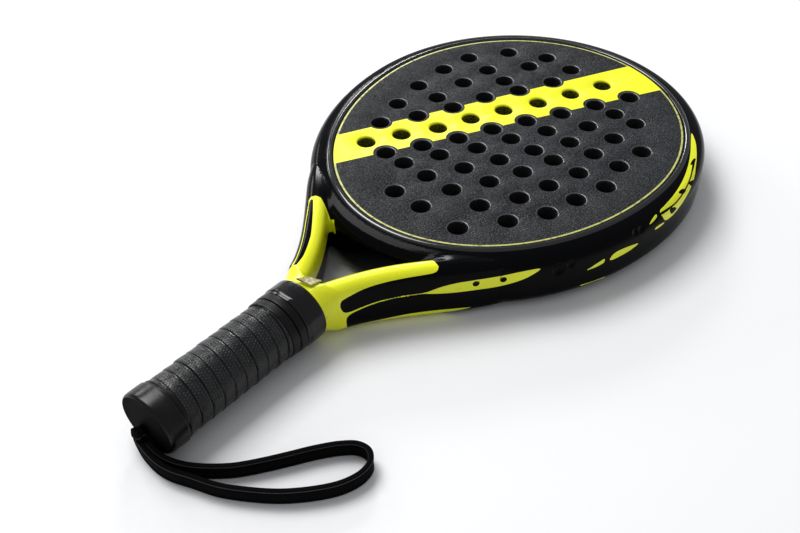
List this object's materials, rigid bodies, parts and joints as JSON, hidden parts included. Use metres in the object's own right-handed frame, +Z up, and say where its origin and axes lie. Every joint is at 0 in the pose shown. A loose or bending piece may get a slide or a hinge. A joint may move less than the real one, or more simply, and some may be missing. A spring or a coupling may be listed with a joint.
{
  "type": "padel racket",
  "caption": "Round-headed padel racket with a drilled foam core between two faces, a tubular frame, a wrapped handle and a wrist strap.",
  "frame": {"origin": "on the floor under the middle of the racket, the strap left out", "axes": "+Y from the butt to the tip of the head, +Z up out of the front face, +X to the right of both"},
  "size_m": [0.249, 0.4638, 0.038],
  "materials": {
    "lacquer": "black gloss lacquer over moulded carbon",
    "yellow_paint": "lemon yellow gloss paint on the throat, the sides and the stripe of the face",
    "face_skin": "rough sanded charcoal laminate with light scuffs",
    "core_foam": "matt black foam seen inside the holes",
    "handle_foam": "rigid foam, hidden under the grip",
    "grip_wrap": "perforated soft polyurethane wrap with a slight sheen",
    "rubber": "satin black rubber",
    "ring_plastic": "polished black plastic with a flat on its crown",
    "cap_plastic": "satin black plastic",
    "webbing": "ribbed black webbing with stitched edges",
    "steel": "plain steel",
    "badge": "pearl cream enamel with a dark edge"
  },
  "bodies": {
    "root": {"frame_tube": "lacquer", "throat_bridge": "lacquer", "foam_core": "core_foam", "face_skin_front": "face_skin", "face_skin_back": "face_skin", "side_plug_left_upper": "rubber", "side_plug_left_lower": "rubber", "side_plug_right_upper": "rubber", "side_plug_right_lower": "rubber", "handle_pallet_left": "handle_foam", "handle_pallet_right": "handle_foam", "handle_web": "handle_foam", "base_grip": "grip_wrap", "overgrip": "grip_wrap", "finishing_tape": "rubber", "collar_sleeve": "rubber", "grip_ring": "ring_plastic", "butt_cap": "cap_plastic", "butt_tack_left": "steel", "butt_tack_right": "steel", "strap_eyelet": "cap_plastic", "strap_gather": "webbing", "strap_knot": "webbing", "wrist_strap": "webbing", "throat_badge": "badge"}
  },
  "joints": []
}
